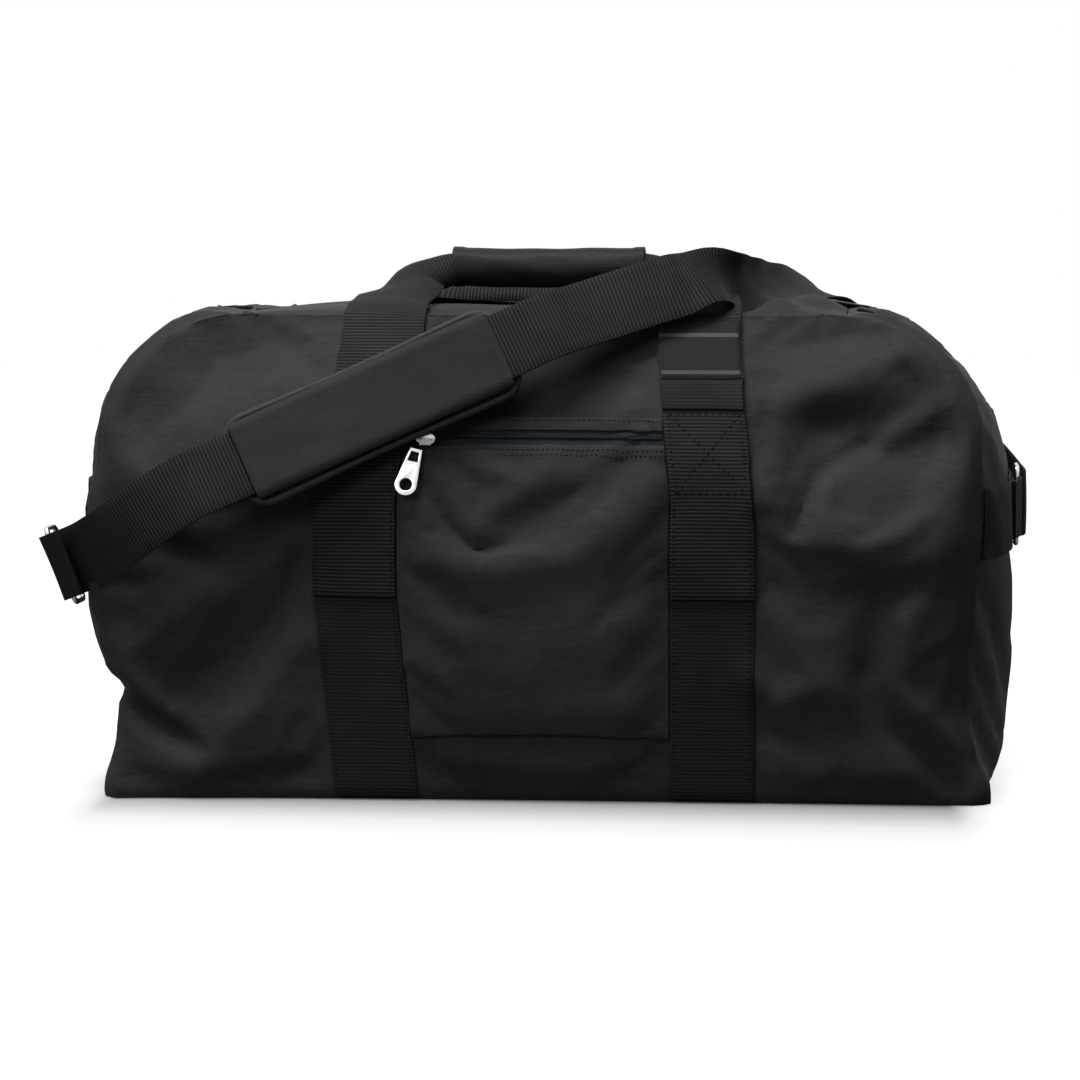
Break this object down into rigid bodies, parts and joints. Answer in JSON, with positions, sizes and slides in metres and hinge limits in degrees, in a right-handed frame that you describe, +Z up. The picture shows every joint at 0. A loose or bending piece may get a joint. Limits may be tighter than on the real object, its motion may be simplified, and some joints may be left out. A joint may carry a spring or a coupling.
{
  "type": "equipment bag",
  "caption": "Soft boxy duffel for hockey equipment, with a zipped top, zipped front pocket, webbing carry handles and a padded shoulder strap held by metal rings.",
  "frame": {"origin": "centre of the underside of the base panel", "axes": "+Z up, +X along the bag to the picture's right, -Y towards the front pocket"},
  "size_m": [0.7267, 0.3984, 0.3998],
  "materials": {
    "fabric": "woven black nylon",
    "webbing": "ribbed black webbing",
    "grip": "smooth black wrap",
    "label": "woven black label",
    "zip": "blue-black zip tape and coil",
    "steel": "bright plated steel",
    "pad": "black padded fabric"
  },
  "bodies": {
    "bag": {"front_panel": "fabric", "back_panel": "fabric", "base_panel": "fabric", "end_panel_left": "fabric", "end_panel_right": "fabric", "pocket_panel": "fabric", "webbing_front_left": "webbing", "webbing_front_right": "webbing", "webbing_back_left": "webbing", "webbing_back_right": "webbing", "handle_end_front_left": "webbing", "handle_end_front_right": "webbing", "handle_end_back_left": "webbing", "handle_end_back_right": "webbing", "label_patch": "label", "pocket_zip_tape_lower": "zip", "pocket_zip_tape_upper": "zip", "pocket_zip_coil": "zip", "zip_end_tab_left": "webbing", "zip_end_tab_right": "webbing", "end_band_left": "webbing", "end_band_right": "webbing", "end_tab_left": "webbing", "end_tab_right": "webbing", "shoulder_strap_lower": "webbing", "shoulder_strap_upper": "webbing", "shoulder_strap_crest": "webbing", "shoulder_strap_rear": "webbing"},
    "top_front": {"top_panel_front": "fabric", "main_zip_tape_front": "zip", "main_zip_coil_front": "zip"},
    "top_rear": {"top_panel_rear": "fabric", "main_zip_tape_rear": "zip", "main_zip_coil_rear": "zip"},
    "main_slider": {"main_slider": "steel"},
    "main_pull": {"main_pull": "steel"},
    "pocket_slider": {"pocket_slider": "steel"},
    "pocket_pull": {"pocket_pull": "steel"},
    "front_handle": {"front_handle": "webbing", "grip_wrap": "grip"},
    "rear_handle": {"rear_handle": "webbing"},
    "strap_ring_left": {"strap_ring_left": "steel"},
    "strap_ring_right": {"strap_ring_right": "steel"},
    "shoulder_pad": {"shoulder_pad": "pad", "pad_sleeve": "pad"}
  },
  "joints": [
    {"name": "top_front_fold", "type": "hinge", "parent": "bag", "child": "top_front", "pos_m": [0, -0.105, 0.3491], "axis": [-1, 0, 0], "range_deg": [0, 80]},
    {"name": "top_rear_fold", "type": "hinge", "parent": "bag", "child": "top_rear", "pos_m": [0, 0.105, 0.3491], "axis": [1, 0, 0], "range_deg": [0, 80]},
    {"name": "main_slider_run", "type": "slide", "parent": "bag", "child": "main_slider", "axis": [-1, 0, 0], "range_m": [0, 0.424]},
    {"name": "main_pull_lift", "type": "hinge", "parent": "main_slider", "child": "main_pull", "pos_m": [0.212, 0, 0.3579], "axis": [0, -1, 0], "range_deg": [0, 90]},
    {"name": "pocket_slider_run", "type": "slide", "parent": "bag", "child": "pocket_slider", "axis": [1, 0, 0], "range_m": [0, 0.155]},
    {"name": "pocket_pull_lift", "type": "hinge", "parent": "pocket_slider", "child": "pocket_pull", "pos_m": [-0.081, -0.1727, 0.2545], "axis": [-1, 0, 0], "range_deg": [0, 90]},
    {"name": "front_handle_swing", "type": "hinge", "parent": "bag", "child": "front_handle", "pos_m": [0, -0.1115, 0.3535], "axis": [1, 0, 0], "range_deg": [0, 75], "deforming": ["shoulder_strap_crest"]},
    {"name": "rear_handle_swing", "type": "hinge", "parent": "bag", "child": "rear_handle", "pos_m": [0, 0.1115, 0.3545], "axis": [-1, 0, 0], "range_deg": [0, 82]},
    {"name": "strap_ring_left_tilt", "type": "hinge", "parent": "bag", "child": "strap_ring_left", "pos_m": [-0.348, -0.116, 0.166], "axis": [0.3746, 0, -0.9272], "range_deg": [-4, 4]},
    {"name": "strap_ring_right_tilt", "type": "hinge", "parent": "bag", "child": "strap_ring_right", "pos_m": [0.353, 0.016, 0.203], "axis": [0, 0, -1], "range_deg": [-4, 4]},
    {"name": "shoulder_pad_slide", "type": "slide", "parent": "bag", "child": "shoulder_pad", "axis": [0.9002, 0.1625, 0.404], "range_m": [-0.01, 0.02]}
  ],
  "couplings": [
    {"joint": "top_rear_fold", "follows": "top_front_fold", "ratio": 1}
  ]
}
